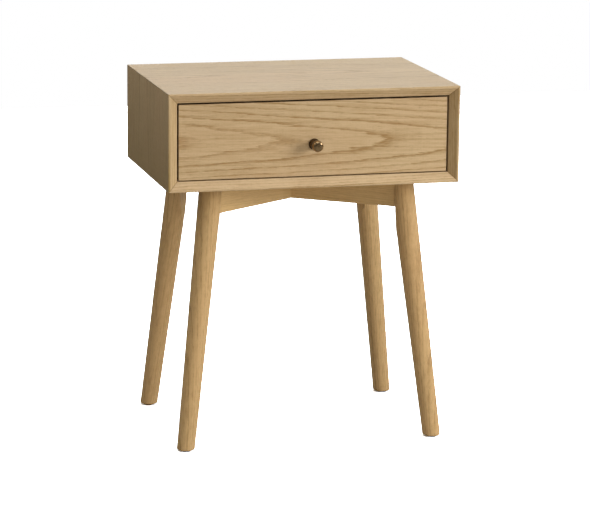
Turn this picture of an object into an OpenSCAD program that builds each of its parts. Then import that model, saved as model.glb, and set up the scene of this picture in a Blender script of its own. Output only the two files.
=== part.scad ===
// Bedside table in oak: a mitred box with a bevelled front frame and one inset drawer,
// standing on a half-lapped cross base with four splayed, tapered round legs.
// Millimetres, +Z up. The origin is on the floor, below the middle of the overall box.

/* [Case] */
// Width of the case
case_w = 500; // [420:1:620]
// Depth of the case, from the front lip to the back edge
case_d = 350; // [345:1:420]
// Height of the case
case_h = 164; // [150:1:220]
// Thickness of the four case boards
board_t = 16.5; // [15:0.5:20]
// Width of the flat lip round the front opening
lip_w = 3.5; // [2:0.5:6]
// Depth of the bevel behind the lip
bevel_d = 10; // [6:0.5:12]
// Size of the small chamfer on the outer edges
arris = 0.6; // [0.3:0.1:1.5]
// Thickness of the back panel
back_t = 5; // [3:0.5:8]
// Width of the rebate that holds the back panel
rebate_w = 9; // [8:0.5:11]
// Thickness of the loose splines in the mitred corners
spline_t = 4; // [3:0.5:5]
// Width of the splines, half in each board
spline_w = 13; // [10:0.5:14]

/* [Base] */
// Height of the underside of the case above the floor
leg_h = 446; // [300:1:520]
// Diameter of a leg at its top
leg_top_d = 40.4; // [34:0.2:44]
// Diameter of a leg at its foot
leg_foot_d = 30.2; // [22:0.2:32]
// Distance from the top of a leg's axis to the side of the case
leg_inset_side = 84.4; // [60:0.2:110]
// Distance from the top of a leg's axis to the front or back of the case
leg_inset_front = 55.8; // [45:0.2:80]
// Lean of the legs, outwards along the cross rails, in degrees
leg_splay = 8; // [4:0.5:11]
// Radius of the eased edge round the foot
foot_round = 2.5; // [1:0.5:4]
// Height of a cross rail
rail_h = 48; // [40:1:60]
// Thickness of a cross rail
rail_t = 22; // [18:0.5:25]
// Distance from a leg's axis to the flat that a rail's end meets, at the rail's lower edge
leg_flat = 11.5; // [9:0.5:13]
// Diameter of the dowels between rail and leg
dowel_d = 8; // [6:1:10]
// Length of those dowels
dowel_l = 36; // [30:1:40]
// Thickness of the glide under each foot
glide_t = 2; // [1:0.5:4]
// Diameter of the glide
glide_d = 20; // [16:0.5:22]

/* [Drawer] */
// Gap at each side of the drawer front
gap_side = 3; // [1.5:0.25:4]
// Gap above the drawer front
gap_top = 3; // [1.5:0.25:4]
// Gap below the drawer front
gap_bottom = 1.75; // [1:0.25:3]
// Distance of the drawer's face behind the front lip
face_setback = 10.5; // [8:0.5:14]
// Thickness of the drawer front
front_t = 18; // [15:0.5:20]
// Thickness of the drawer box sides, front and back
box_t = 12; // [12:0.5:15]
// Clear height below the drawer box
box_floor_gap = 14; // [8:0.5:18]
// Clear height above the drawer box
box_top_gap = 22; // [14:0.5:26]
// Thickness of the drawer bottom
bottom_t = 5; // [3:0.5:6]
// Height of the drawer bottom above the lower edge of the box
bottom_lift = 8; // [7:0.5:12]
// Depth of the grooves for the drawer bottom
groove_d = 6; // [4:0.5:7]
// Number of dovetails at each corner of the box
tail_count = 3; // [2:1:4]
// Slope of the dovetails, in degrees
tail_slope = 10; // [7:0.5:14]

/* [Knob] */
// Length of the knob, from the drawer's face
knob_l = 30; // [22:0.5:34]
// Diameter of the head of the knob
knob_d = 19; // [15:0.2:24]
// Diameter of the waist of the knob
knob_waist_d = 13.6; // [11:0.2:14]
// Distance of the knob below the middle of the drawer front
knob_drop = 9.5; // [0:0.5:15]
// Diameter of the knob screw
knob_screw_d = 4; // [3:0.5:5]

/* [Drawer slides] */
// Clear depth between the slides and the back panel
slide_back_gap = 15.5; // [10:0.5:50]
// Width of a slide, between the case and the drawer box
slide_w = 12.7; // [12.7:0.1:14]
// Height of the outer rail of a slide
slide_h = 45; // [42:0.5:48]
// Thickness of the rolled steel
sheet_t = 1.2; // [1:0.1:1.3]
// Diameter of the bearing balls
ball_d = 3; // [2.6:0.1:3.2]
// Distance between the balls in a cage
ball_pitch = 12; // [10:0.5:13]
// Number of balls in a row
ball_count = 9; // [6:1:9]
// Length of a ball cage
cage_l = 112; // [110:1:116]

/* [Fixings] */
// Clearance round screws, dowels and splines in their holes
fit = 0.1; // [0.05:0.05:0.2]
// Diameter of the screws for the slides
slide_screw_d = 3.5; // [3:0.1:4]
// Diameter of the screws in the back panel
back_screw_d = 3; // [2.5:0.1:3.5]
// Diameter of the screws that hold the base to the case
base_screw_d = 5; // [4:0.5:6]
// Diameter of the screws in the drawer front
front_screw_d = 4; // [3.5:0.1:4.5]

/* [Hidden] */
$fn = 48;

oak = [0.76, 0.64, 0.47];
oak_dark = [0.70, 0.57, 0.40];
birch = [0.86, 0.76, 0.58];
brass = [0.43, 0.31, 0.16];
steel = [0.72, 0.73, 0.74];
black_rubber = [0.12, 0.12, 0.12];
white_plastic = [0.90, 0.90, 0.88];

// Overall places
total_h = leg_h + case_h;
knob_overhang = max(0, knob_l - face_setback);
front_y = (knob_overhang - case_d) / 2;
back_y = front_y + case_d;
mid_y = front_y + case_d / 2;
past = 1;

// Case opening
opening_w = case_w - 2 * board_t;
opening_h = case_h - 2 * board_t;
opening_z = leg_h + board_t;
back_clear = 0.2;
spline_share = 0.55;
spline_in = spline_share * board_t;
spline_front = 20;
spline_l = case_d - back_t - 2 * spline_front;

// Base: each leg leans in the upright plane through the middle of the base
leg_top_x = case_w / 2 - leg_inset_side;
leg_top_y = case_d / 2 - leg_inset_front;
leg_top_r = norm([leg_top_x, leg_top_y]);
foot_r = leg_top_r + leg_h * tan(leg_splay);
flat_r = leg_top_r + rail_h * tan(leg_splay) - leg_flat;
leg_axis_l = leg_h / cos(leg_splay);
leg_taper = (leg_top_d - leg_foot_d) / 2 / leg_axis_l;
dowel_rows = [0.3, 0.7];
dowel_in_leg = 14;
base_screw_r = 0.6 * leg_top_r;
rail_arris = 1;
leg_spare = 20;
base_screw_grip = 25;
base_screw_bite = 11;
base_screw_head_d = 2 * base_screw_d;
counterbore_d = base_screw_head_d + 1;
glide_pin_d = 2.5;
glide_pin_l = 12;

// Drawer
face_y = front_y + face_setback;
box_y = face_y + front_t;
slide_front_gap = 1;
slide_l = back_y - back_t - slide_back_gap - box_y - slide_front_gap;
box_l = slide_l;
face_w = opening_w - 2 * gap_side;
face_h = opening_h - gap_top - gap_bottom;
face_z = opening_z + gap_bottom;
box_w = opening_w - 2 * slide_w;
box_h = opening_h - box_floor_gap - box_top_gap;
box_z = opening_z + box_floor_gap;
tail_pitch = box_h / tail_count;
tail_share = 0.68;
tail_wide = tail_share * tail_pitch;
knob_z = face_z + face_h / 2 - knob_drop;
knob_screw_bite = 10;
knob_screw_l = box_t + front_t + knob_screw_bite;
knob_screw_head_h = 2.5;
front_screw_x = box_w / 3;
front_screw_rise = box_h / 4;
front_screw_l = box_t + front_t - 5;
bottom_l = box_l - box_t + groove_d - fit;
bottom_screw_x = box_w / 3;

// Slides: places across a slide run from the case side to the drawer side
slide_z = box_z + box_h / 2;
slide_y = box_y + slide_front_gap;
stop_t = 6;
stop_clear = 0.3;
race_gap = 0.1;
race_r = ball_d / 2 + race_gap;
outer_ball_v = slide_h / 2 - sheet_t - race_r;
flange_v = outer_ball_v - race_r;
inner_ball_v = flange_v - sheet_t - race_r;
slide_screw_head_d = 2 * slide_screw_d;
slide_screw_head_h = 1.5;
web_clear = 0.7;
flange_clear = 0.9;
middle_web_u = sheet_t + slide_screw_head_h + web_clear;
middle_w = slide_w - sheet_t - flange_clear - middle_web_u;
outer_ball_u = middle_web_u + middle_w / 2;
inner_ball_u = (middle_web_u + slide_w) / 2;
window_at = [0.31, 0.69];
window_l = 24;
window_h = 9;
race_lap = 65;
groove_lap = 40;
cage_half_w = race_r + 0.4;
cage_t = 1.3;
cage_shift = 0.45;
travel = slide_l;
cage_in = travel / 4 + (slide_l - travel / 2 - stop_t - stop_clear - cage_l) / 2;
slide_screw_at = [0.12, 0.5, 0.88];
cabinet_screw_l = board_t - 3;
drawer_screw_l = box_t - 1;

// ---------------------------------------------------------------- helpers

// Extrudes an outline of (x, z) points from y0 backwards
module along_y(y0, l) {
  translate([0, y0 + l, 0])
    rotate([90, 0, 0])
      linear_extrude(l)
        children();
}

// Extrudes an outline of (y, z) points from x0 to the right
module along_x(x0, l) {
  translate([x0, 0, 0])
    rotate([90, 0, 90])
      linear_extrude(l)
        children();
}

// Countersunk wood screw: its flat head at z = 0, its tip along +Z
module screw(d, l) {
  rotate_extrude()
    polygon([[0, 0], [d, 0], [d / 2, 0.6 * d], [d / 2, l - d], [0, l]]);
}

module screw_hole(d, l) {
  rotate_extrude()
    polygon([
      [0, -past], [d + fit, -past], [d + fit, 0], [d / 2 + fit, 0.6 * d],
      [d / 2 + fit, l - d], [0, l + 3 * fit]
    ]);
}

// Screw with a low flat head that stands on the surface at z = 0
module pan_screw(d, l, head_d, head_h) {
  rotate_extrude()
    polygon([
      [0, -head_h], [head_d / 2 - 0.4, -head_h], [head_d / 2, -head_h + 0.4],
      [head_d / 2, 0], [d / 2, 0], [d / 2, l - d], [0, l]
    ]);
}

module pan_screw_hole(d, l) {
  rotate_extrude()
    polygon([[0, -past], [d / 2 + fit, -past], [d / 2 + fit, l - d], [0, l + 3 * fit]]);
}

// ---------------------------------------------------------------- case

// One case board, its outer face at z = 0 and its front edge at y = 0: the front edge
// has the lip and the bevel, the back edge the rebate, and the ends are mitred.
module case_board(l) {
  intersection() {
    along_x(-l / 2, l)
      polygon([
        [0, -arris], [arris, 0], [case_d - arris, 0], [case_d, -arris],
        [case_d, rebate_w - board_t], [case_d - back_t, rebate_w - board_t],
        [case_d - back_t, -board_t], [bevel_d, -board_t], [0, -lip_w]
      ]);
    along_y(0, case_d)
      polygon([
        [arris - l / 2, 0], [l / 2 - arris, 0], [(l - arris) / 2, -arris / 2],
        [l / 2 - board_t, -board_t], [board_t - l / 2, -board_t], [(arris - l) / 2, -arris / 2]
      ]);
  }
}

// Loose splines across the four mitres; side and level are -1 or 1
module spline(side, level, grow = 0) {
  along_y(front_y + spline_front - grow, spline_l + 2 * grow)
    translate([
      side * (case_w / 2 - spline_in),
      leg_h + case_h / 2 + level * (case_h / 2 - spline_in)
    ])
      rotate(-45 * side * level)
        square([spline_w + 2 * grow, spline_t + 2 * grow], center = true);
}

// Places of the screws in the back panel: in the boards, half-way across the rebate
function back_screw_places() =
  let (
    x = opening_w / 2 + rebate_w / 2,
    z = opening_h / 2 + rebate_w / 2
  )
  concat(
    [for (s = [-1, 1], a = [-0.4, 0, 0.4]) [a * opening_w, s * z]],
    [for (s = [-1, 1], b = [-0.25, 0.25]) [s * x, b * opening_h]]
  );

back_screw_l = 20;

module at_back_screws() {
  for (p = back_screw_places())
    translate([p[0], back_y, leg_h + case_h / 2 + p[1]])
      rotate([90, 0, 0])
        children();
}

module back_screw_holes() {
  at_back_screws() screw_hole(back_screw_d, back_screw_l);
}

module top_panel() {
  color(oak)
    difference() {
      translate([0, front_y, total_h]) case_board(case_w);
      for (side = [-1, 1]) spline(side, 1, fit);
      back_screw_holes();
    }
}

module bottom_panel() {
  color(oak)
    difference() {
      translate([0, front_y, leg_h]) mirror([0, 0, 1]) case_board(case_w);
      for (side = [-1, 1]) spline(side, -1, fit);
      back_screw_holes();
      base_screw_holes();
    }
}

module side_panel(side) {
  color(oak)
    difference() {
      translate([side * case_w / 2, front_y, leg_h + case_h / 2])
        rotate([0, side * 90, 0])
          case_board(case_h);
      for (level = [-1, 1]) spline(side, level, fit);
      back_screw_holes();
      at_slide_screws(side, 0) cabinet_screw_turn() pan_screw_hole(slide_screw_d, cabinet_screw_l);
    }
}

module corner_splines() {
  color(birch)
    for (side = [-1, 1], level = [-1, 1]) spline(side, level);
}

module back_panel() {
  w = opening_w + 2 * (rebate_w - back_clear);
  h = opening_h + 2 * (rebate_w - back_clear);
  color(birch)
    difference() {
      translate([-w / 2, back_y - back_t, leg_h + (case_h - h) / 2]) cube([w, back_t, h]);
      back_screw_holes();
    }
}

module back_panel_screws() {
  color(steel)
    at_back_screws() screw(back_screw_d, back_screw_l);
}

// ---------------------------------------------------------------- base

// Turns to the upright plane of one leg, whose corner is given by signs, and to
// the middle of the base
module at_corner(side, end) {
  translate([0, mid_y, 0])
    rotate([0, 0, atan2(end * leg_top_y, side * leg_top_x)])
      children();
}

// Distance of the leg's axis from the middle of the base
function axis_r(z) = leg_top_r + (leg_h - z) * tan(leg_splay);

// Full turned leg, longer than needed at both ends
module leg_blank() {
  translate([foot_r, 0, 0])
    rotate([0, -leg_splay, 0])
      translate([0, 0, -leg_spare])
        cylinder(
          h = leg_axis_l + 2 * leg_spare,
          r1 = leg_foot_d / 2 - leg_spare * leg_taper,
          r2 = leg_top_d / 2 + leg_spare * leg_taper
        );
}

// The space that a leg stands in: level at the top, with an eased edge at the foot
module leg_limits() {
  slack = 0.2;
  r = leg_foot_d / 2 / cos(leg_splay) - glide_t * tan(leg_splay) + slack;
  eased = [for (a = [-90:15:0]) foot_round * [cos(a), 1 + sin(a)] - [foot_round, 0]];
  translate([axis_r(glide_t), 0, glide_t])
    rotate_extrude()
      polygon(concat(
        [[0, 0]],
        [for (p = eased) [r + p[0], p[1]]],
        [[leg_h, leg_h - glide_t], [0, leg_h - glide_t]]
      ));
}

// The wood planed off the inner side of a leg: an upright flat that runs out below the rail
module leg_flat_cut() {
  translate([flat_r - leg_top_d, -leg_top_d, leg_h / 2])
    cube([leg_top_d, 2 * leg_top_d, leg_h / 2 + past]);
}

module leg(side, end) {
  color(oak)
    at_corner(side, end)
      difference() {
        intersection() {
          leg_blank();
          leg_limits();
        }
        leg_flat_cut();
        leg_dowel_pair(fit);
        translate([axis_r(glide_t), 0, glide_t - past])
          cylinder(h = glide_pin_l + past + fit, d = glide_pin_d + 2 * fit);
      }
}

// A cross rail without its lap, lying along X between the flats of two legs
module rail_blank() {
  along_x(-flat_r, 2 * flat_r)
    polygon([
      [-rail_t / 2, leg_h], [rail_t / 2, leg_h],
      [rail_t / 2, leg_h - rail_h + rail_arris], [rail_t / 2 - rail_arris, leg_h - rail_h],
      [rail_arris - rail_t / 2, leg_h - rail_h], [-rail_t / 2, leg_h - rail_h + rail_arris]
    ]);
}

module leg_dowel_pair(grow = 0) {
  for (share = dowel_rows) {
    z = leg_h - share * rail_h;
    translate([flat_r + dowel_in_leg - dowel_l - grow, 0, z])
      rotate([0, 90, 0])
        cylinder(h = dowel_l + 2 * grow, d = dowel_d + 2 * grow);
  }
}

module at_base_screws() {
  for (side = [-1, 1], end = [-1, 1])
    at_corner(side, end)
      translate([base_screw_r, 0, leg_h - base_screw_grip])
        children();
}

module base_screw_holes() {
  at_base_screws() screw_hole(base_screw_d, base_screw_grip + base_screw_bite);
}

// end_side is the side of the case that the rail's front end points to, and level
// the half that the lap is cut from: 1 above, -1 below
module cross_rail(end_side, level) {
  lap_h = rail_h / 2;
  color(oak_dark)
    difference() {
      at_corner(end_side, -1) rail_blank();
      at_corner(-end_side, -1)
        translate([0, 0, leg_h - lap_h + level * (lap_h / 2 + past)])
          cube([4 * rail_t, rail_t + 2 * fit, lap_h + 2 * past], center = true);
      for (end = [-1, 1]) {
        at_corner(end * end_side, -end) leg_dowel_pair(fit);
        at_corner(end * end_side, -end)
          translate([base_screw_r, 0, leg_h - rail_h - past])
            cylinder(h = rail_h - base_screw_grip + past, d = counterbore_d);
        at_corner(end * end_side, -end)
          translate([base_screw_r, 0, leg_h - base_screw_grip])
            screw_hole(base_screw_d, base_screw_grip + base_screw_bite);
      }
    }
}

module leg_dowels() {
  color(birch)
    for (side = [-1, 1], end = [-1, 1])
      at_corner(side, end) leg_dowel_pair();
}

module base_screws() {
  color(steel)
    at_base_screws() screw(base_screw_d, base_screw_grip + base_screw_bite);
}

module foot_glides() {
  rim = 0.5;
  color(black_rubber)
    for (side = [-1, 1], end = [-1, 1])
      at_corner(side, end)
        translate([axis_r(glide_t), 0, 0])
          rotate_extrude()
            polygon([
              [0, 0], [glide_d / 2 - rim, 0], [glide_d / 2, rim], [glide_d / 2, glide_t],
              [glide_pin_d / 2, glide_t], [glide_pin_d / 2, glide_t + glide_pin_l], [0, glide_t + glide_pin_l]
            ]);
}

// ---------------------------------------------------------------- drawer slides

// Moves to a slide: x runs from the case side to the drawer, z from its centre line
module at_slide(side) {
  if (side < 0)
    translate([-opening_w / 2, 0, slide_z]) children();
  else
    mirror([1, 0, 0]) translate([-opening_w / 2, 0, slide_z]) children();
}

// Part of a ring, reaching the angle lap to either side of the direction middle
module arc_band(r, t, middle, lap = race_lap) {
  reach = 3 * (r + t);
  intersection() {
    difference() {
      circle(r + t);
      circle(r);
    }
    polygon(concat([[0, 0]], [for (a = [-lap, 0, lap]) reach * [cos(middle + a), sin(middle + a)]]));
  }
}

// Draws an outline above the centre line and its mirror image below
module both_halves() {
  children();
  mirror([0, 1]) children();
}

// Outer rail: a C whose flanges end in races over the outer rows of balls
module cabinet_rail_outline() {
  flange_low = outer_ball_v + 0.4;
  both_halves() {
    square([sheet_t, flange_low + sheet_t]);
    translate([0, flange_low]) square([outer_ball_u - race_r - 0.1, sheet_t]);
    translate([outer_ball_u, outer_ball_v]) arc_band(race_r, sheet_t, 90);
  }
}

// Middle rail: a C whose flanges have a race on each face
module middle_rail_outline() {
  both_halves() {
    translate([middle_web_u, 0]) square([sheet_t, flange_v]);
    translate([middle_web_u, flange_v - sheet_t]) square([middle_w, sheet_t]);
    translate([outer_ball_u, outer_ball_v]) arc_band(race_r, sheet_t, 270, groove_lap);
    translate([inner_ball_u, inner_ball_v]) arc_band(race_r, sheet_t, 90, groove_lap);
  }
}

// Inner rail: a C whose flanges end in races under the inner rows of balls
module drawer_rail_outline() {
  flange_high = inner_ball_v - 0.5;
  both_halves() {
    translate([slide_w - sheet_t, 0]) square([sheet_t, flange_high]);
    translate([inner_ball_u + race_r + 0.1, flange_high - sheet_t])
      square([slide_w - inner_ball_u - race_r - 0.1, sheet_t]);
    translate([inner_ball_u, inner_ball_v]) arc_band(race_r, sheet_t, 270);
  }
}

// Screw places along a slide, at the given distance from the case side
module at_slide_screws(side, u) {
  at_slide(side)
    for (share = slide_screw_at)
      translate([u, slide_y + share * slide_l, 0])
        children();
}

module cabinet_screw_turn() {
  translate([sheet_t, 0, 0]) rotate([0, -90, 0]) children();
}

module drawer_screw_turn() {
  translate([slide_w - sheet_t, 0, 0]) rotate([0, 90, 0]) children();
}

module cabinet_rail(side) {
  color(steel)
    difference() {
      at_slide(side) along_y(slide_y, slide_l) cabinet_rail_outline();
      at_slide_screws(side, 0) cabinet_screw_turn() pan_screw_hole(slide_screw_d, cabinet_screw_l);
    }
}

module cabinet_rail_screws() {
  color(steel)
    for (side = [-1, 1])
      at_slide_screws(side, 0)
        cabinet_screw_turn()
          pan_screw(slide_screw_d, cabinet_screw_l, slide_screw_head_d, slide_screw_head_h);
}

// Rubber stop at the back of each outer rail, which the closed middle rail meets
module slide_end_stops() {
  color(black_rubber)
    for (side = [-1, 1])
      at_slide(side)
        along_y(slide_y + slide_l - stop_t, stop_t)
          translate([sheet_t, -flange_v + sheet_t])
            square([middle_web_u, 2 * (flange_v - sheet_t)]);
}

// The windows in its web give a screwdriver access to the outer rail's screws
module middle_rail(side) {
  color(steel)
    at_slide(side)
      difference() {
        along_y(slide_y, slide_l - stop_t - stop_clear) middle_rail_outline();
        for (share = window_at)
          translate([middle_web_u - past, slide_y + share * slide_l, 0])
            rotate([0, 90, 0])
              linear_extrude(sheet_t + 2 * past)
                window_outline();
      }
}

// Slot with round ends, its length along y
module window_outline() {
  straight = window_l - window_h;
  square([window_h, straight], center = true);
  for (s = [-1, 1])
    translate([0, s * straight / 2]) circle(d = window_h);
}

module drawer_rail(side) {
  color(steel)
    difference() {
      at_slide(side) along_y(slide_y, slide_l) drawer_rail_outline();
      at_slide_screws(side, 0) drawer_screw_turn() pan_screw_hole(slide_screw_d, drawer_screw_l);
    }
}

module drawer_rail_screws() {
  color(steel)
    for (side = [-1, 1])
      at_slide_screws(side, 0)
        drawer_screw_turn()
          pan_screw(slide_screw_d, drawer_screw_l, slide_screw_head_d, slide_screw_head_h);
}

// Centres of the balls in one row, u and v giving the row's place in the slide
module at_balls(u, v) {
  first = cage_in + (cage_l - (ball_count - 1) * ball_pitch) / 2;
  for (i = [0:ball_count - 1])
    translate([u, slide_y + first + i * ball_pitch, v])
      children();
}

// Two plastic strips, above and below the centre line, with a hole for each ball
module ball_cage(side, u, v, shift) {
  color(white_plastic)
    at_slide(side)
      for (s = [-1, 1])
        difference() {
          translate([u - cage_half_w, slide_y + cage_in, s * (v + shift) - cage_t / 2])
            cube([2 * cage_half_w, cage_l, cage_t]);
          at_balls(u, s * v)
            cylinder(h = 3 * cage_t, r = race_r, center = true);
        }
}

module balls(u, v) {
  color(steel)
    for (side = [-1, 1], s = [-1, 1])
      at_slide(side) at_balls(u, s * v) sphere(d = ball_d);
}

// ---------------------------------------------------------------- drawer

// Width of a dovetail at a depth below its end, and the height of its middle
function tail_w(depth) = tail_wide - 2 * depth * tan(tail_slope);
function tail_mid(i) = (i + 0.5) * tail_pitch;

// Tails as (depth, height) outlines, running past the end of the board
module tail_outlines() {
  for (i = [0:tail_count - 1])
    polygon([
      [-past, tail_mid(i) - tail_w(-past) / 2], [box_t, tail_mid(i) - tail_w(box_t) / 2],
      [box_t, tail_mid(i) + tail_w(box_t) / 2], [-past, tail_mid(i) + tail_w(-past) / 2]
    ]);
}

// The spaces between the tails, where the pins of the other board go
module pin_outlines() {
  function low(i, depth) = i == 0 ? -past : tail_mid(i - 1) + tail_w(depth) / 2;
  function high(i, depth) = i == tail_count ? box_h + past : tail_mid(i) - tail_w(depth) / 2;
  for (i = [0:tail_count])
    polygon([
      [-past, low(i, -past)], [box_t, low(i, box_t)],
      [box_t, high(i, box_t)], [-past, high(i, -past)]
    ]);
}

// Cuts for both ends of a board of the box: end is 1 at the front, -1 at the back
module at_box_end(end) {
  if (end > 0)
    translate([0, box_y, box_z]) children();
  else
    translate([0, box_y + box_l, box_z]) mirror([0, 1, 0]) children();
}

module drawer_side(side) {
  outer_x = side * box_w / 2;
  inner_x = side * (box_w / 2 - box_t);
  color(birch)
    difference() {
      translate([min(outer_x, inner_x), box_y, box_z]) cube([box_t, box_l, box_h]);
      for (end = [-1, 1])
        at_box_end(end)
          along_x(min(outer_x, inner_x) - past, box_t + 2 * past) pin_outlines();
      drawer_bottom_space(fit);
      at_slide_screws(side, 0) drawer_screw_turn() pan_screw_hole(slide_screw_d, drawer_screw_l);
    }
}

// A front or back board of the box with its tail sockets cut
module pinned_board(end) {
  difference() {
    at_box_end(end) translate([-box_w / 2, 0, 0]) cube([box_w, box_t, box_h]);
    for (side = [-1, 1])
      at_box_end(end)
        along_x(side * (box_w - box_t) / 2 - box_t / 2 - (side < 0 ? past : 0), box_t + past)
          tail_outlines();
  }
}

module drawer_bottom_space(grow = 0) {
  w = box_w - 2 * box_t + 2 * (groove_d - fit);
  translate([-w / 2 - grow, box_y + box_t - groove_d + fit - grow, box_z + bottom_lift - grow])
    cube([w + 2 * grow, bottom_l + grow + (grow > 0 ? past : 0), bottom_t + 2 * grow]);
}

module drawer_box_front() {
  color(birch)
    difference() {
      pinned_board(1);
      drawer_bottom_space(fit);
      at_front_screws() screw_hole(front_screw_d, front_screw_l);
      at_knob_screw() pan_screw_hole(knob_screw_d, knob_screw_l);
    }
}

// The back stops above the bottom, which slides in below it
module drawer_box_back() {
  color(birch)
    difference() {
      pinned_board(-1);
      translate([-box_w / 2 - past, box_y + box_l - box_t - past, box_z - past])
        cube([box_w + 2 * past, box_t + 2 * past, bottom_lift + bottom_t + past]);
      at_bottom_screws() screw_hole(back_screw_d, back_screw_l);
    }
}

module drawer_bottom() {
  color(birch)
    difference() {
      drawer_bottom_space();
      at_bottom_screws() screw_hole(back_screw_d, back_screw_l);
    }
}

module at_bottom_screws() {
  for (share = [-1, 0, 1])
    translate([share * bottom_screw_x, box_y + box_l - box_t / 2, box_z + bottom_lift])
      children();
}

module drawer_bottom_screws() {
  color(steel)
    at_bottom_screws() screw(back_screw_d, back_screw_l);
}

module at_front_screws() {
  for (side = [-1, 1], rise = [-1, 1])
    translate([side * front_screw_x, box_y + box_t, box_z + box_h / 2 + rise * front_screw_rise])
      rotate([90, 0, 0])
        children();
}

module drawer_front_screws() {
  color(steel)
    at_front_screws() screw(front_screw_d, front_screw_l);
}

module drawer_front() {
  color(oak)
    difference() {
      along_x(-face_w / 2, face_w)
        polygon([
          [face_y, face_z + arris], [face_y + arris, face_z], [box_y, face_z],
          [box_y, face_z + face_h], [face_y + arris, face_z + face_h], [face_y, face_z + face_h - arris]
        ]);
      at_front_screws() screw_hole(front_screw_d, front_screw_l);
      at_knob_screw() pan_screw_hole(knob_screw_d, knob_screw_l);
    }
}

// ---------------------------------------------------------------- knob

module at_knob_screw() {
  translate([0, box_y + box_t, knob_z])
    rotate([90, 0, 0])
      children();
}

module knob_screw() {
  color(steel)
    at_knob_screw() pan_screw(knob_screw_d, knob_screw_l, 2 * knob_screw_d, knob_screw_head_h);
}

// Turned knob: a foot against the drawer, a drawn-in waist and a domed head
module knob() {
  rim_r = knob_d / 2 + 0.1;
  foot_l = 2.4;
  rim_arris = 0.4;
  head_l = 0.36 * knob_l;
  waist_l = knob_l - foot_l - head_l;
  head_r = knob_d / 2;
  swell = (knob_d - knob_waist_d) / 2;
  waist = [
    for (i = [0:8])
      [head_r - swell * sin(i * 180 / 8), foot_l + i * waist_l / 8]
  ];
  dome_l = 0.62 * head_l;
  dome = [
    for (a = [0:10:80])
      [head_r * pow(cos(a), 0.55), knob_l - dome_l + dome_l * sin(a)]
  ];
  color(brass)
    difference() {
      translate([0, face_y, knob_z])
        rotate([90, 0, 0])
          rotate_extrude()
            polygon(concat(
              [[0, 0], [rim_r - rim_arris, 0], [rim_r, rim_arris], [rim_r, foot_l - rim_arris]],
              waist, dome, [[0, knob_l]]
            ));
      at_knob_screw() pan_screw_hole(knob_screw_d, knob_screw_l);
    }
}

// ---------------------------------------------------------------- the parts

top_panel();
bottom_panel();
side_panel(-1);  // left_side_panel
side_panel(1);  // right_side_panel
corner_splines();
back_panel();
back_panel_screws();
leg(-1, -1);  // front_left_leg
leg(1, -1);  // front_right_leg
leg(-1, 1);  // rear_left_leg
leg(1, 1);  // rear_right_leg
cross_rail(-1, 1);  // cross_rail_front_left
cross_rail(1, -1);  // cross_rail_front_right
leg_dowels();
base_screws();
foot_glides();
cabinet_rail(-1);  // left_cabinet_rail
cabinet_rail(1);  // right_cabinet_rail
cabinet_rail_screws();
slide_end_stops();
middle_rail(-1);  // left_middle_rail
middle_rail(1);  // right_middle_rail
ball_cage(-1, outer_ball_u, outer_ball_v, -cage_shift);  // left_outer_ball_cage
ball_cage(1, outer_ball_u, outer_ball_v, -cage_shift);  // right_outer_ball_cage
balls(outer_ball_u, outer_ball_v);  // outer_bearing_balls
ball_cage(-1, inner_ball_u, inner_ball_v, cage_shift);  // left_inner_ball_cage
ball_cage(1, inner_ball_u, inner_ball_v, cage_shift);  // right_inner_ball_cage
balls(inner_ball_u, inner_ball_v);  // inner_bearing_balls
drawer_rail(-1);  // left_drawer_rail
drawer_rail(1);  // right_drawer_rail
drawer_rail_screws();
drawer_front();
drawer_box_front();
drawer_box_back();
drawer_side(-1);  // drawer_left_side
drawer_side(1);  // drawer_right_side
drawer_bottom();
drawer_front_screws();
drawer_bottom_screws();
knob();
knob_screw();
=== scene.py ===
"""Bedside table in oak: a mitred case with a bevelled front frame and one inset drawer, on a half-lapped
cross base with four splayed, tapered round legs. Metres, +Z up, the front towards -Y."""

from math import cos, hypot, pi, radians, sin

import bmesh
import bpy
from mathutils import Matrix, Vector


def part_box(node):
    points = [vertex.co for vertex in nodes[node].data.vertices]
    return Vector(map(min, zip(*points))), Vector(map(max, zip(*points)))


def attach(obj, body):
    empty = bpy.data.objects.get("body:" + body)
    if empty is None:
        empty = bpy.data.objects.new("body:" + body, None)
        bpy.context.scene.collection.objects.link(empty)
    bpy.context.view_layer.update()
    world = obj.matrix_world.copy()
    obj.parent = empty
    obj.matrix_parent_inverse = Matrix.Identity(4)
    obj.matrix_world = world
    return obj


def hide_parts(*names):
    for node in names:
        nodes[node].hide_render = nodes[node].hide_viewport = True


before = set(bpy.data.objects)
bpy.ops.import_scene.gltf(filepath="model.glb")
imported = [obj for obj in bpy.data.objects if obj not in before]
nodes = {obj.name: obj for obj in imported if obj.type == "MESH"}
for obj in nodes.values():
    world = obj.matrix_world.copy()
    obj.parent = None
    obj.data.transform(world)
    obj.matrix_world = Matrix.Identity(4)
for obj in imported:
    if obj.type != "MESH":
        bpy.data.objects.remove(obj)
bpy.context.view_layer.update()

# ------------------------------------------------------------------------------- camera
# The table is seen from the front left, a little from above, through a long lens that
# stands about five metres away.

CAMERA_YAW = radians(14.456)
CAMERA_PITCH = radians(12.002)
CAMERA_ROLL = radians(0.517)

lens = bpy.data.cameras.new("camera")
lens.lens = 175.85
lens.sensor_width = 36
lens.clip_end = 100
camera = bpy.data.objects.new("camera", lens)
bpy.context.scene.collection.objects.link(camera)
camera.matrix_world = (
    Matrix.Translation((-1.2105, -4.729, 1.333))
    @ Matrix.Rotation(-CAMERA_YAW, 4, "Z")
    @ Matrix.Rotation(pi / 2 - CAMERA_PITCH, 4, "X")
    @ Matrix.Rotation(CAMERA_ROLL, 4, "Z")
)
bpy.context.scene.camera = camera
bpy.context.scene.view_settings.view_transform = "Standard"

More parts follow.
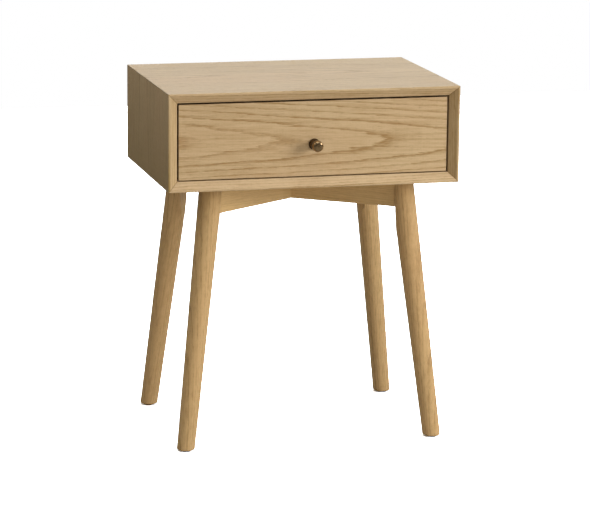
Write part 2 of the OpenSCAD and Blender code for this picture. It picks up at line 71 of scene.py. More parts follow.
# ------------------------------------------------------------------------------- studio
# A pale seamless floor. A large softbox at the front right is the main light, and a smaller
# one above it glints on the metal. Others stand behind, at the left, low in front and
# overhead, and warm light from the room fills the shadows, more of it from above.


class Finish:
    """A material or the room's air, written node by node. add() returns the new node's output socket."""

    def __init__(self, holder, bare=True):
        holder.use_nodes = True
        self.holder = holder
        self.tree = holder.node_tree
        if bare:
            self.tree.nodes.clear()

    def node(self, kind, sockets=None, **settings):
        made = self.tree.nodes.new("ShaderNode" + kind)
        for setting, value in settings.items():
            setattr(made, setting, value)
        for socket, value in (sockets or {}).items():
            if isinstance(value, bpy.types.NodeSocket):
                self.tree.links.new(value, made.inputs[socket])
            else:
                made.inputs[socket].default_value = value
        return made

    def add(self, kind, sockets=None, output=0, **settings):
        return self.node(kind, sockets, **settings).outputs[output]

    def sum(self, a, b, how="ADD"):
        return self.add("Math", {0: a, 1: b}, operation=how)

    def times(self, a, b):
        return self.sum(a, b, "MULTIPLY")

    def scaled(self, vector, by):
        return self.add("VectorMath", {0: vector, 1: by}, operation="MULTIPLY")

    def noise(self, vector, by, detail=2, rough=0.5, output=0):
        sockets = {"Vector": self.scaled(vector, by), "Scale": 1, "Detail": detail, "Roughness": rough}
        return self.add("TexNoise", sockets, output)

    def spread(self, value, low, high, to_low=0, to_high=1, soft=False):
        sockets = {0: value, 1: low, 2: high, 3: to_low, 4: to_high}
        return self.add("MapRange", sockets, interpolation_type="SMOOTHSTEP" if soft else "LINEAR")

    def blend(self, share, first, second):
        return self.add("MixRGB", {0: share, 1: first, 2: second})

    def place(self):
        """Where a point of the piece is, in metres."""
        return self.add("TexCoord", output=3)

    def coat(self, sockets, kind="BsdfPrincipled"):
        """The finished surface; a bare number in sockets is the same all over it."""
        surface = self.add(kind, sockets)
        self.node("OutputMaterial", {"Surface": surface})
        return self.holder


FLOOR_SIZE = 7

floor_mesh = bpy.data.meshes.new("floor")
reach = FLOOR_SIZE / 2
corners = [(x * reach, y * reach, 0) for x, y in ((-1, -1), (1, -1), (1, 1), (-1, 1))]
floor_mesh.from_pydata(corners, [], [(0, 1, 2, 3)])
floor = bpy.data.objects.new("floor", floor_mesh)
bpy.context.scene.collection.objects.link(floor)
paint = Finish(bpy.data.materials.new("floor_paint"))
tone = paint.blend(paint.add("LightPath"), (0.4, 0.385, 0.345, 1), (4, 4, 4, 1))
floor_mesh.materials.append(paint.coat({"Color": tone}, "BsdfDiffuse"))

room = bpy.data.worlds.new("room")
bpy.context.scene.world = room
air = Finish(room)
seen = air.add("LightPath")
up = air.node("SeparateXYZ", {0: air.add("TexCoord")}).outputs[2]
fill = air.spread(up, 0.1, 0.9, 0.13, 0.26)
tint = air.blend(seen, (1, 0.97, 0.86, 1), (1, 1, 1, 1))
glow = air.add("Background", {"Color": tint, "Strength": air.spread(seen, 0, 1, fill, 1)})
air.node("OutputWorld", {"Surface": glow})

MIDDLE = Vector((0, 0, 0.45))


def softbox(name, place, size, power, colour=(1, 1, 1)):
    lamp = bpy.data.lights.new(name, "AREA")
    lamp.shape = "RECTANGLE"
    lamp.size, lamp.size_y = size
    lamp.energy = power
    lamp.color = colour
    box = bpy.data.objects.new(name, lamp)
    bpy.context.scene.collection.objects.link(box)
    box.location = place
    box.rotation_euler = (MIDDLE - Vector(place)).to_track_quat("-Z", "Y").to_euler()
    box.visible_camera = False
    return box


softbox("key_light", (3.2, -2.8, 1.5), (1.8, 1.8), 133, (0.91, 0.94, 1)).visible_glossy = False
softbox("glint_light", (2.9, -1.5, 2.1), (1.1, 0.7), 50).visible_diffuse = False
softbox("low_fill", (-0.6, -4.4, 0.7), (2.4, 1.2), 36, (1, 0.98, 0.97)).visible_glossy = False
softbox("left_fill", (-1.8, -0.2, 2.2), (1.2, 1.2), 6)
softbox("overhead_light", (0.2, -0.3, 3.2), (2.4, 2.4), 36, (0.96, 1, 0.99))
softbox("back_sweep", (1.2, 4.6, 2.6), (4.0, 1.2), 42, (0.84, 0.93, 1))
softbox("back_light", (3.2, 2.4, 1.6), (1.8, 1.8), 50)

# --------------------------------------------------------------------------- case boards
# Four oak boards, mitred at the corners so that the grain runs round the case. Their front
# edges are planed to a lip and a bevel, and they have two coats of clear satin lacquer.

OAK = {
    "pale": (0.625, 0.44, 0.238), "dark": (0.36, 0.205, 0.072), "pore": (0.2, 0.108, 0.034),
    "bands": 0.75, "pores": 0.7, "flecks": 0.18, "streaks": 0.28, "mottle": 0.08, "ring": 0.005,
}


def timber(name, wood, log, heart, taper=0.025, phase=0.0, uneven=1.2, wander=0.02, seed=0.0):
    """A board or a leg sawn from a log that lies along log, its heart passing through the point heart.

    taper is how fast the log narrows along its length, wander how far its rings stray from a circle."""
    f = Finish(bpy.data.materials.new(name))
    turn = Vector(log).to_track_quat("X", "Z").to_euler()
    in_log = {"Vector": f.place(), "Location": heart, "Rotation": turn}
    in_log = f.add("Mapping", in_log, vector_type="TEXTURE")
    start = f.add("VectorMath", {0: in_log, 1: (seed, seed, seed)})
    bend = f.noise(start, (1.6, 7, 7), 2, 0.5, 1)
    bend = f.scaled(f.add("VectorMath", {0: bend, 1: (-0.5, -0.5, -0.5)}), (0, wander, wander))
    grown = f.add("VectorMath", {0: in_log, 1: bend})
    along, across, deep = f.node("SeparateXYZ", {0: grown}).outputs
    out = f.add("VectorMath", {0: f.scaled(grown, (0, 1, 1))}, 1, operation="LENGTH")

    # years: each starts with a dark band of wide pores and ends in dense, paler wood
    years = f.times(f.sum(out, f.times(along, taper)), 1 / wood["ring"])
    years = f.sum(years, phase)
    pace = f.add("TexNoise", {"W": f.sum(years, seed), "Scale": 0.45, "Detail": 1}, noise_dimensions="1D")
    years = f.sum(years, f.spread(pace, 0, 1, -uneven / 2, uneven / 2))
    ragged = f.noise(start, (14, 120, 120), 3, 0.62)
    years = f.sum(years, f.spread(ragged, 0, 1, -0.28, 0.28))
    frayed = f.noise(start, (36, 640, 640), 2, 0.6)
    years = f.sum(years, f.spread(frayed, 0, 1, -0.2, 0.2))
    band = f.node("ValToRGB", {0: f.add("Math", {0: years}, operation="FRACT")})
    year_tones = ((0.06, 0.95), (0.15, 0.5), (0.3, 0.14), (0.6, 0.04), (0.95, 0))
    for at, tone in year_tones:
        band.color_ramp.elements.new(at).color = (tone, tone, tone, 1)
    band.color_ramp.elements[0].color = (1, 1, 1, 1)
    strength = f.sum(f.add("Math", {0: years}, operation="FLOOR"), seed)
    strength = f.add("TexWhiteNoise", {"W": strength}, noise_dimensions="1D")
    band = f.times(band.outputs[0], f.spread(strength, 0, 1, 0.55, 1))

    # pores: dark furrows along the grain, long and crowded in the bands, fine between them
    furrow = 0
    wide_pores = (0.014, 0.0005, 0.02, 0.85, 1)
    fine_pores = (0.005, 0.0004, 0.3, 0.4, 0.5)
    for length, width, least, most, share in (wide_pores, fine_pores):
        by = (1 / length, 1 / width, 1 / width)
        cell = f.node("TexVoronoi", {"Vector": f.scaled(grown, by), "Scale": 1})
        shape = f.spread(cell.outputs["Distance"], 0.42, 0.12)
        chance = f.add("SeparateColor", {0: cell.outputs["Color"]})
        kept = f.sum(chance, f.spread(band, 0, 0.6, least, most), "LESS_THAN")
        furrow = f.sum(f.times(f.times(shape, kept), share), furrow, "MAXIMUM")

    # rays: thin sheets that run out from the heart and flash where the cut meets them
    angle = f.times(f.sum(deep, across, "ARCTAN2"), 90)
    sheet = f.add("CombineXYZ", {0: f.times(along, 1 / 0.012), 1: f.times(out, 1 / 0.03), 2: angle})
    ray = f.add("TexVoronoi", {"Vector": sheet, "Scale": 1})
    ray = f.times(f.spread(ray, 0.45, 0.2, soft=True), wood["flecks"])

    fibre = f.noise(start, (24, 1500, 1500), 3, 0.6)
    streak = f.noise(start, (15, 420, 420), 3, 0.6)
    mottle = f.noise(start, (70, 240, 240), 3, 0.65)
    cloud = f.node("SeparateColor", {0: f.noise(start, (2.2, 11, 11), 2, 0.5, 1)})
    shade = f.times(band, wood["bands"])
    shade = f.sum(shade, f.spread(mottle, 0.3, 0.7, -wood["mottle"], wood["mottle"]))
    shade = f.sum(shade, f.spread(streak, 0.3, 0.7, -wood["streaks"], wood["streaks"]))
    shade = f.sum(shade, f.spread(fibre, 0.3, 0.7, -0.1, 0.1))
    shade = f.sum(shade, f.spread(cloud.outputs[0], 0.3, 0.7, -0.1, 0.12))
    shade = f.add("Math", {0: shade, 1: 0.05}, use_clamp=True)
    colour = f.blend(shade, (*wood["pale"], 1), (*wood["dark"], 1))
    pink = tuple(c * by for c, by in zip(wood["pale"], (1.0, 0.88, 0.85)))
    colour = f.blend(f.spread(cloud.outputs[1], 0.45, 0.75, 0, 0.4), colour, (*pink, 1))
    colour = f.blend(f.times(furrow, wood["pores"]), colour, (*wood["pore"], 1))
    # a paler tone: the wood's own colour in the ray flecks, a painted highlight on the edges
    pale_fleck_and_edge_highlight = tuple(min(1, 1.2 * c) for c in wood["pale"])
    colour = f.blend(ray, colour, (*pale_fleck_and_edge_highlight, 1))

    # end grain drinks the lacquer: darker and more matt
    axis = tuple(Vector(log).normalized())
    facing = f.add("VectorMath", {0: f.add("TexCoord", output=1), 1: axis}, 1, operation="DOT_PRODUCT")
    end = f.spread(f.add("Math", {0: facing}, operation="ABSOLUTE"), 0.75, 0.97, soft=True)
    colour = f.blend(f.times(end, 0.7), colour, (*wood["pore"], 1))

    # edges are eased with fine paper; they are painted paler, partly as wear from handling and partly as a
    # painted highlight along the arris
    eased = f.add("Bevel", {"Radius": 0.0009}, samples=4)
    flat = f.add("VectorMath", {0: eased, 1: f.add("NewGeometry", output=1)}, 1, operation="DOT_PRODUCT")
    worn_and_highlit_edges = f.times(f.spread(flat, 0.99, 0.85), f.spread(mottle, 0.35, 0.6, 0.1, 0.35))
    colour = f.blend(worn_and_highlit_edges, colour, (*pale_fleck_and_edge_highlight, 1))

    roughness = f.sum(f.spread(fibre, 0.3, 0.7, 0.38, 0.5), f.times(furrow, 0.2))
    roughness = f.sum(roughness, f.times(end, 0.2))
    height = f.sum(f.times(furrow, -0.00008), f.times(fibre, 0.00002))
    height = f.sum(height, f.times(band, -0.00002))
    surface = {
        "Base Color": colour,
        "Roughness": roughness,
        "Normal": f.add("Bump", {"Height": height, "Distance": 1, "Strength": 1, "Normal": eased}),
        "IOR": 1.5,
    }
    return f.coat(surface)


def dress(material, *names):
    """Gives CAD nodes their finish."""
    for name in names:
        worn = nodes[name].data.materials
        worn.clear()
        worn.append(material)


def shaded(material, cover, tone):
    """Lays a tone over a finished wood; cover gives its strength at the place x, y, z."""
    f = Finish(material, bare=False)
    surface = f.tree.nodes["Principled BSDF"]
    bare = surface.inputs["Base Color"].links[0].from_socket
    x, y, z = f.node("SeparateXYZ", {0: f.place()}).outputs
    f.tree.links.new(f.blend(cover(f, x, y, z), bare, (*tone, 1)), surface.inputs["Base Color"])
    return material


case_low, case_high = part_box("left_side_panel")[0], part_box("right_side_panel")[1]
case_top = case_high.z
case_middle, case_half = (case_low + case_high) / 2, (case_high - case_low) / 2


def mitre_line(f, x, y, z):
    """The fine dark line of glue where two boards meet at a corner."""
    off = []
    for at, middle, half in ((x, case_middle.x, case_half.x), (z, case_middle.z, case_half.z)):
        from_middle = f.add("Math", {0: f.sum(at, middle, "SUBTRACT")}, operation="ABSOLUTE")
        off.append(f.sum(half, from_middle, "SUBTRACT"))
    gap = f.add("Math", {0: f.sum(*off, "SUBTRACT")}, operation="ABSOLUTE")
    return f.spread(gap, 0.0003, 0.0008, 0.8, 0)


SKIN = 0.003
FADE = 0.0005


def left_painted_shade(f, x, y, z):
    """Painted shade: the outer face of the left side darkens towards its foot, and its bevel and inner face
    are a little darker all over.
    """
    outer = f.spread(z, case_low.z, case_top, 0.75, 0)
    return f.spread(x, case_low.x + SKIN, case_low.x + SKIN + FADE, outer, 0.2)


def right_painted_shade(f, x, y, z):
    """Painted shade: the bevel and the inner face of the right side are darkened."""
    return f.spread(x, case_high.x - SKIN - FADE, case_high.x - SKIN, 0.3, 0)


# painted shade laid over the two side boards
side_painted_shades = {
    "left_side_panel": (left_painted_shade, (0.29, 0.17, 0.03)),
    "right_side_panel": (right_painted_shade, (0.2, 0.11, 0.01)),
}
case_boards = (
    ("top_panel", (1, 0, 0), (0, 0.03, case_top - 0.11), 3.1),
    ("bottom_panel", (1, 0, 0), (0, -0.02, case_low.z + 0.1), 5.7),
    ("left_side_panel", (0, 0, 1), (-0.14, 0.04, 0.5), 8.3),
    ("right_side_panel", (0, 0, 1), (0.14, -0.03, 0.5), 1.9),
)
for board, log, heart, seed in case_boards:
    oak = shaded(timber("oak_" + board, OAK, log, heart, seed=seed), mitre_line, OAK["pore"])
    # the side boards get their painted shade here
    if board in side_painted_shades:
        oak = shaded(oak, *side_painted_shades[board])
    dress(oak, board)

# ------------------------------------------------------------------------ corner splines
# Beech strips, glued into a groove across each mitre. They are planed and left bare, and
# the closed joint hides them.

BEECH = {
    "pale": (0.60, 0.40, 0.23), "dark": (0.42, 0.25, 0.13), "pore": (0.25, 0.13, 0.06),
    "bands": 0.25, "pores": 0.15, "flecks": 0.5, "streaks": 0.12, "mottle": 0.05, "ring": 0.003,
}

dress(timber("beech_splines", BEECH, (0, 1, 0), (0.05, 0, 0.4), seed=6.2), "corner_splines")

# ----------------------------------------------------------------------------- back panel
# Five-millimetre plywood faced with oak, let into a rebate flush with the back edges of
# the case. The face veneer is peeled from the log, so its figure is broad and calm.


def plywood(name, wood, log, heart, across, low, thick, seed=0.0):
    """Veneered board: oak faces on a core of three plies, which show at the edges."""

    def core(f, x, y, z):
        depth = {"Y": y, "Z": z}[across]
        plies = f.node("ValToRGB", {0: f.spread(depth, low, low + thick)})
        plies.color_ramp.interpolation = "CONSTANT"
        for at, tone in ((0.13, 0.75), (0.38, 0.35), (0.62, 0.75), (0.87, 0)):
            plies.color_ramp.elements.new(at).color = (tone, tone, tone, 1)
        plies.color_ramp.elements[0].color = (0, 0, 0, 1)
        plies.color_ramp.elements[-1].color = (0, 0, 0, 1)
        return plies.outputs[0]

    return shaded(timber(name, wood, log, heart, seed=seed), core, (0.75 * c for c in wood["dark"]))


BACK_VENEER = {**OAK, "bands": 0.6, "ring": 0.004, "streaks": 0.16}
back_low, back_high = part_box("back_panel")
back_t = back_high.y - back_low.y
back_heart = (0, back_low.y - 0.14, 0.55)
dress(
    plywood("oak_plywood_back", BACK_VENEER, (1, 0, 0), back_heart, "Y", back_low.y, back_t, seed=4.4),
    "back_panel",
)

# ----------------------------------------------------------------------- back panel screws
# Countersunk steel wood screws with a cross recess, bright zinc plated, driven through the
# panel into the rebates of the case.


def zinc(name, tint):
    """Bright zinc plate: cloudy where the bath dried, with fine marks from the barrel."""
    f = Finish(bpy.data.materials.new(name))
    at = f.place()
    cloud = f.noise(at, (260, 260, 260), 3, 0.6)
    marks = f.noise(at, (2600, 2600, 2600), 3, 0.7)
    colour = f.blend(f.spread(cloud, 0.35, 0.7), (*tint, 1), (*(0.72 * c for c in tint), 1))
    surface = {
        "Base Color": colour,
        "Metallic": 1.0,
        "Roughness": f.sum(f.spread(cloud, 0.3, 0.7, 0.2, 0.34), f.spread(marks, 0.3, 0.7, 0, 0.1)),
        "Normal": f.add("Bump", {"Height": f.times(marks, 0.00001), "Distance": 1, "Strength": 1}),
    }
    return f.coat(surface)


SCREW_ZINC = zinc("screw_zinc", (0.66, 0.66, 0.67))
ROUND = 20
RINGS_PER_TURN = 5


def solids(cad_node):
    """The corner points of each separate solid of a CAD node."""
    bm = bmesh.new()
    bm.from_mesh(nodes[cad_node].data)
    bmesh.ops.remove_doubles(bm, verts=bm.verts, dist=1e-6)
    waiting = set(bm.verts)
    found = []
    while waiting:
        edge = [waiting.pop()]
        points = []
        while edge:
            vert = edge.pop()
            points.append(vert.co.copy())
            for near in (e.other_vert(vert) for e in vert.link_edges):
                if near in waiting:
                    waiting.remove(near)
                    edge.append(near)
        found.append(points)
    bm.free()
    return sorted(found, key=lambda points: tuple(round(c, 4) for c in sum(points, Vector()) / len(points)))


def ring_of(bm, z, radius, thread=None):
    """A ring of points round the screw's axis; thread gives the height of the ridge at an angle."""
    ring = []
    for i in range(ROUND):
        a = 2 * pi * i / ROUND
        r = radius + (thread(z, a) if thread else 0)
        ring.append(bm.verts.new((r * cos(a), r * sin(a), z)))
    return ring


def bridge(bm, low, high):
    for i in range(len(low)):
        j = (i + 1) % len(low)
        bm.faces.new((low[i], low[j], high[j], high[i]))


def pan_height(head_r):
    """How far a pan head stands up: lower on the small screws of the slides."""
    return 1.5e-3 if head_r < 3.9e-3 else 2.5e-3


def add_screw(bm, place, length, head_r, flat):
    """One screw, its head at the origin of place and its tip along +Z; flat is a countersunk head."""
    first = len(bm.verts)
    d = head_r
    shank, core = d / 2, 0.34 * d
    pitch, point = 0.42 * d, 0.9 * d
    under = 0.6 * d if flat else 0.0
    run = length - point - under

    def thread(z, a):
        turn = (z / pitch - a / (2 * pi)) % 1
        fade = min(1, (z - under) / (1.2 * d), (length - z) / point)
        return (shank - core) * max(0, 1 - 3 * abs(turn - 0.5)) * max(0, fade)

    # cross recess, drawn as a ring of points that goes in and out of the four wings
    wing, neck = 0.56 * head_r, 0.17 * head_r
    face_z = 0.0 if flat else -pan_height(head_r)
    rim = 0.25e-3
    outline = []
    for quarter in range(4):
        turn = Matrix.Rotation(quarter * pi / 2, 3, "Z")
        for x, y in ((neck, -neck), (wing, -0.6 * neck), (wing, 0.6 * neck)):
            outline.append(turn @ Vector((x, y, face_z)))
    mouth = [bm.verts.new(p) for p in outline]
    floor_z = face_z + 0.6 * head_r
    recess = [bm.verts.new((0.5 * p.x, 0.5 * p.y, floor_z)) for p in outline]
    bridge(bm, mouth, recess)
    bm.faces.new(recess)
    edge = ring_of(bm, face_z, head_r - rim)
    loops = [(ring[i], ring[(i + 1) % len(ring)]) for ring in (mouth, edge) for i in range(len(ring))]
    edges = [bm.edges.get(pair) or bm.edges.new(pair) for pair in loops]
    bmesh.ops.triangle_fill(bm, use_beauty=True, edges=edges)
    last = ring_of(bm, face_z + rim, head_r)
    bridge(bm, edge, last)
    steps = [(under, shank)] if flat else [(0.0, head_r), (0.0, shank)]
    for z, radius in steps:
        ring = ring_of(bm, z, radius)
        bridge(bm, last, ring)
        last = ring
    rings = int(run / pitch * RINGS_PER_TURN)
    for i in range(1, rings + 1):
        z = under + run * i / rings
        radius = core + (shank - core) * max(0, 1 - (z - under) / (0.5 * d))
        ring = ring_of(bm, z, radius, thread if radius < 1.02 * core else None)
        bridge(bm, last, ring)
        last = ring
    tip = bm.verts.new((0, 0, length))
    for i in range(ROUND):
        bm.faces.new((last[i], last[(i + 1) % ROUND], tip))
    bm.verts.ensure_lookup_table()
    bmesh.ops.transform(bm, matrix=place, verts=bm.verts[first:])


def piece(name, bm, body, slot, finish, *cad_nodes):
    """Turns a mesh into a piece that rides on a body and stands for CAD nodes."""
    bmesh.ops.recalc_face_normals(bm, faces=bm.faces)
    mesh = bpy.data.meshes.new(name)
    bm.to_mesh(mesh)
    bm.free()
    mesh.materials.append(finish)
    made = bpy.data.objects.new(name, mesh)
    bpy.context.scene.collection.objects.link(made)
    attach(made, body)
    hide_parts(*cad_nodes)
    return made


def screws(name, cad_node, body, flat=True):
    """Real screws in place of the plain ones of a CAD node, each with its head where theirs is."""
    bm = bmesh.new()
    for points in solids(cad_node):
        low = Vector(map(min, zip(*points)))
        high = Vector(map(max, zip(*points)))
        size = high - low
        axis = max(range(3), key=lambda k: size[k])
        middle = (low + high) / 2

        def reach(end):
            near = [p - middle for p in points if abs(p[axis] - end) < 1e-4]
            return max(hypot(p[(axis + 1) % 3], p[(axis + 2) % 3]) for p in near)

        head_low = reach(low[axis]) > reach(high[axis])
        head_r = size[(axis + 1) % 3] / 2
        tip = Vector((0, 0, 0))
        tip[axis] = 1 if head_low else -1
        head = middle.copy()
        head[axis] = low[axis] if head_low else high[axis]
        length = size[axis]
        if not flat:
            head += pan_height(head_r) * tip
            length -= pan_height(head_r)
        place = Matrix.Translation(head) @ tip.to_track_quat("Z", "Y").to_matrix().to_4x4()
        stopped_at = 2.4 * head.x * 100 + head.z * 60
        place = place @ Matrix.Rotation(stopped_at, 4, "Z")
        add_screw(bm, place, length, head_r, flat)
    return piece(name, bm, body, "zinc_screws", SCREW_ZINC, cad_node)


screws("back_screws", "back_panel_screws", "case")

# ----------------------------------------------------------------------------------- legs
# Turned oak legs, tapered and splayed along the cross rails. Each has a flat planed on its
# inner side for the end of its rail, and its foot is eased. The base is oiled before it is
# lacquered and looks warmer than the case.

LEG_TOP_D = 0.0404
BASE_OAK = {
    **OAK, "pale": (0.64, 0.415, 0.185), "dark": (0.35, 0.195, 0.066),
    "bands": 0.6, "pores": 0.6, "streaks": 0.12, "mottle": 0.28, "ring": 0.0042,
}


UNDER_CASE_SHADE_DEPTH = 0.06


def painted_shade_under_case(f, x, y, z):
    """Painted shade: the legs darken close under the case, where its shadow falls on them."""
    return f.spread(z, case_low.z - UNDER_CASE_SHADE_DEPTH, case_low.z, 0, 0.4)


for number, corner in enumerate(("front_left", "front_right", "rear_left", "rear_right")):
    low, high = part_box(corner + "_leg")
    side, end = (1 if low.x + high.x > 0 else -1), (1 if low.y + high.y > 0 else -1)
    lean = Vector((side * (high.x - low.x - LEG_TOP_D), end * (high.y - low.y - LEG_TOP_D), low.z - high.z))
    heart = (low + high) / 2 + Matrix.Rotation(1.9 * number, 3, "Z") @ Vector((0.034, 0.012, 0))
    oak = timber("oak_leg_" + corner, BASE_OAK, lean, heart, taper=0.02, seed=2.7 * number + 1)
    # painted shade at the tops of the legs, close under the case
    dress(shaded(oak, painted_shade_under_case, (0.2, 0.1, 0.02)), corner + "_leg")

# ---------------------------------------------------------------------------- cross rails
# Two oak rails that are halved into each other where they cross. Their ends butt against
# the flats of the legs, held by beech dowels, and screws in deep counterbores go up from
# them into the case.

# The rails have calmer grain than the legs; their paler tone is painted light that makes up for the shade
# under the case.
RAIL_OAK_PAINTED_PALER = {
    **BASE_OAK, "pale": (0.69, 0.455, 0.2), "bands": 0.26, "pores": 0.3, "mottle": 0.08,
}

for number, corner in enumerate(("front_left", "front_right")):
    low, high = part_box("cross_rail_" + corner)
    run = Vector((high.x - low.x, (high.y - low.y) * (1 if corner == "front_left" else -1), 0))
    heart = (0, 0.06 - 0.1 * number, low.z - 0.06)
    oak = timber("oak_rail_" + corner, RAIL_OAK_PAINTED_PALER, run, heart, seed=3.3 * number + 7)
    dress(oak, "cross_rail_" + corner)

dress(timber("beech_dowels", BEECH, (1, 0, 0), (0, 0.4, 0.3), seed=9.1), "leg_dowels")
screws("base_fixing_screws", "base_screws", "case")

# ---------------------------------------------------------------------------- foot glides
# Black rubber discs, pressed into a hole under each foot by a moulded pin.


def rubber(name, tone):
    """Moulded rubber: matt, with a fine sandblasted skin and a little dust in it."""
    f = Finish(bpy.data.materials.new(name))
    at = f.place()
    skin = f.noise(at, (5000, 5000, 5000), 2, 0.6)
    dust = f.noise(at, (300, 300, 300), 4, 0.6)
    surface = {
        "Base Color": f.blend(f.spread(dust, 0.45, 0.8, 0, 0.35), (*tone, 1), (0.11, 0.10, 0.09, 1)),
        "Roughness": f.spread(dust, 0.3, 0.7, 0.62, 0.85),
        "Normal": f.add("Bump", {"Height": f.times(skin, 0.00002), "Distance": 1, "Strength": 1}),
        "Specular IOR Level": 0.35,
    }
    return f.coat(surface)


BLACK_RUBBER = rubber("black_rubber", (0.022, 0.021, 0.020))
dress(BLACK_RUBBER, "foot_glides", "slide_end_stops")

# -------------------------------------------------------------------------- drawer slides
# Telescopic slides in three rails of rolled and zinc plated steel, a pair to the case, a
# pair to the drawer and a pair between. Balls in plastic cages run between their races.


def rolled_steel(name):
    """Zinc plated strip: long rolling marks, a milky bloom, and fine scratches that roughen it."""
    f = Finish(bpy.data.materials.new(name))
    at = f.place()
    rolled = f.noise(at, (2400, 14, 2400), 3, 0.6)
    bloom = f.noise(at, (45, 25, 45), 3, 0.55)
    scratch = f.noise(at, (900, 90, 900), 4, 0.7)
    colour = f.blend(f.spread(bloom, 0.35, 0.7), (0.68, 0.69, 0.71, 1), (0.50, 0.51, 0.54, 1))
    colour = f.blend(f.spread(rolled, 0.35, 0.7, 0, 0.35), colour, (0.42, 0.42, 0.43, 1))
    surface = {
        "Base Color": colour,
        "Metallic": 1.0,
        "Roughness": f.sum(f.spread(bloom, 0.3, 0.7, 0.22, 0.36), f.spread(scratch, 0.45, 0.7, 0, 0.12)),
        "Normal": f.add("Bump", {"Height": f.times(rolled, 0.000012), "Distance": 1, "Strength": 1}),
    }
    return f.coat(surface)


STRIP = rolled_steel("rolled_steel")
for side in ("left", "right"):
    dress(STRIP, side + "_cabinet_rail", side + "_middle_rail", side + "_drawer_rail")
screws("cabinet_rail_fixings", "cabinet_rail_screws", "case", flat=False)
screws("drawer_rail_fixings", "drawer_rail_screws", "drawer", flat=False)


def nylon(name, tone):
    """Moulded nylon: milky, with faint flow lines and a soft sheen."""
    f = Finish(bpy.data.materials.new(name))
    at = f.place()
    flow = f.noise(at, (700, 60, 700), 3, 0.55)
    surface = {
        "Base Color": f.blend(f.spread(flow, 0.3, 0.7), (*tone, 1), (*(0.86 * c for c in tone), 1)),
        "Roughness": f.spread(flow, 0.3, 0.7, 0.38, 0.5),
        "Normal": f.add("Bump", {"Height": f.times(flow, 0.00001), "Distance": 1, "Strength": 1}),
        "Subsurface Weight": 0.12,
        "Subsurface Scale": 0.001,
    }
    return f.coat(surface)


CAGE_NYLON = nylon("cage_nylon", (0.80, 0.79, 0.74))
for side in ("left", "right"):
    dress(CAGE_NYLON, side + "_outer_ball_cage", side + "_inner_ball_cage")

balls = Finish(bpy.data.materials.new("ball_steel"))
polish = balls.noise(balls.place(), (1800, 1800, 1800), 3, 0.65)
surface = {
    "Base Color": balls.blend(balls.spread(polish, 0.4, 0.75), (0.74, 0.74, 0.75, 1), (0.52, 0.52, 0.53, 1)),
    "Metallic": 1.0,
    "Roughness": balls.spread(polish, 0.3, 0.7, 0.06, 0.16),
}
dress(balls.coat(surface), "outer_bearing_balls", "inner_bearing_balls")

# ----------------------------------------------------------------------------- drawer box
# A box of pale birch, its corners dovetailed, tails on the sides and pins on the front and
# back. It is sanded and sealed with one thin coat.

BIRCH = {
    "pale": (0.74, 0.60, 0.40), "dark": (0.55, 0.40, 0.235), "pore": (0.42, 0.28, 0.15),
    "bands": 0.3, "pores": 0.22, "flecks": 0.1, "streaks": 0.12, "mottle": 0.08, "ring": 0.0035,
}

box_low, box_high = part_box("drawer_left_side")[0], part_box("drawer_right_side")[1]
box_z = (box_low.z + box_high.z) / 2
box_boards = (
    ("drawer_box_front", (1, 0, 0), (0, box_low.y + 0.06, box_z - 0.02)),
    ("drawer_box_back", (1, 0, 0), (0, box_high.y - 0.07, box_z + 0.01)),
    ("drawer_left_side", (0, 1, 0), (box_low.x + 0.06, 0, box_z)),
    ("drawer_right_side", (0, 1, 0), (box_high.x - 0.07, 0, box_z + 0.02)),
)
for number, (board, log, heart) in enumerate(box_boards):
    dress(timber("birch_" + board, BIRCH, log, heart, seed=2.3 * number + 1.2), board)

# -------------------------------------------------------------------------- drawer bottom
# Oak-faced plywood that slides into grooves in the sides and front from behind, and is
# screwed up into the back of the box.

floor_low, floor_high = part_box("drawer_bottom")
floor_t = floor_high.z - floor_low.z
floor_heart = (0, 0.02, floor_low.z - 0.12)
dress(
    plywood("oak_plywood_bottom", BACK_VENEER, (1, 0, 0), floor_heart, "Z", floor_low.z, floor_t, seed=2.9),
    "drawer_bottom",
)
screws("drawer_floor_screws", "drawer_bottom_screws", "drawer")

# --------------------------------------------------------------------------- drawer front
# One wide oak board, cut so that the log's rings run out on its face in long points. Its
# face is lacquered, and its edges and back are darkened with painted shade for the gap
# round the drawer. Four screws from inside the box hold it.

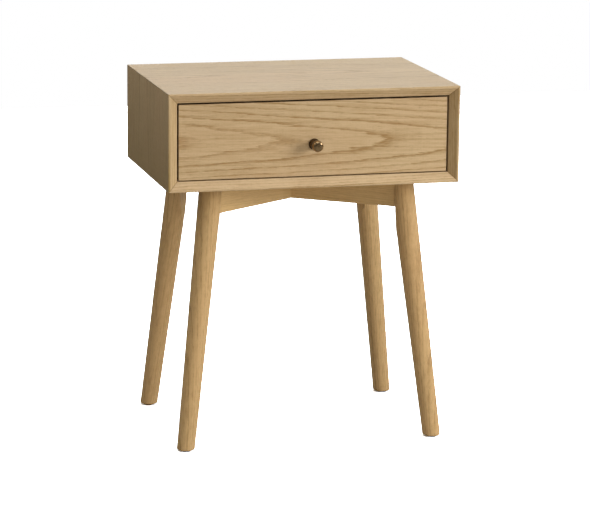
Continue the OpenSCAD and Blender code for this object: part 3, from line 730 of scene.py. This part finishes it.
front_low, front_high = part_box("drawer_front")
front_heart = (0, front_low.y + 0.087, (front_low.z + front_high.z) / 2 - 0.004)
FRONT_OAK = {**OAK, "bands": 0.98, "streaks": 0.32}
front_oak = timber(
    "oak_drawer_front", FRONT_OAK, (1, 0, -0.026), front_heart,
    taper=0.0275, phase=-0.045, uneven=0.3, wander=0.004, seed=2.2,
)


def gap_painted_shade(f, x, y, z):
    """Painted shade: the edges and the back, which show in the gap round the drawer, are darkened."""
    return f.spread(y, front_low.y + 0.001, front_low.y + 0.003, 0, 0.8)


# painted shade on the edges and back of the drawer front
dress(shaded(front_oak, gap_painted_shade, (0.12, 0.058, 0.018)), "drawer_front")
screws("drawer_front_fixings", "drawer_front_screws", "drawer")

# ----------------------------------------------------------------------------------- knob
# Solid brass, turned on a lathe and darkened in a bath, then rubbed back by hand: browner
# in the waist, brighter on the crown. A long screw from inside the drawer holds it.

knob_low, knob_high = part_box("knob")
knob_middle = (knob_low + knob_high) / 2
metal = Finish(bpy.data.materials.new("antique_brass"))
from_axis = metal.add("VectorMath", {0: metal.place(), 1: -knob_middle})
along_y = metal.node("SeparateXYZ", {0: metal.place()}).outputs[1]
radius = metal.add("VectorMath", {0: metal.scaled(from_axis, (1, 0, 1))}, 1, operation="LENGTH")
turned = metal.add("CombineXYZ", {0: metal.times(radius, 4200), 1: metal.times(along_y, 4200)})
turned = metal.add("TexNoise", {"Vector": turned, "Scale": 1, "Detail": 3, "Roughness": 0.6})
patina = metal.noise(from_axis, (240, 240, 240), 4, 0.6)
deep = metal.spread(along_y, knob_low.y + 0.010, knob_low.y + 0.003, 1, 0)
stain = metal.sum(metal.times(deep, 0.75), metal.spread(patina, 0.35, 0.75, 0, 0.45))
surface = {
    "Base Color": metal.blend(stain, (0.43, 0.285, 0.15, 1), (0.05, 0.034, 0.019, 1)),
    "Metallic": 1.0,
    "Roughness": metal.sum(metal.spread(patina, 0.3, 0.7, 0.18, 0.26), metal.times(deep, 0.1)),
    "Normal": metal.add("Bump", {"Height": metal.times(turned, 0.000006), "Distance": 1, "Strength": 1}),
}
dress(metal.coat(surface), "knob")
screws("knob_fixing", "knob_screw", "drawer", flat=False)
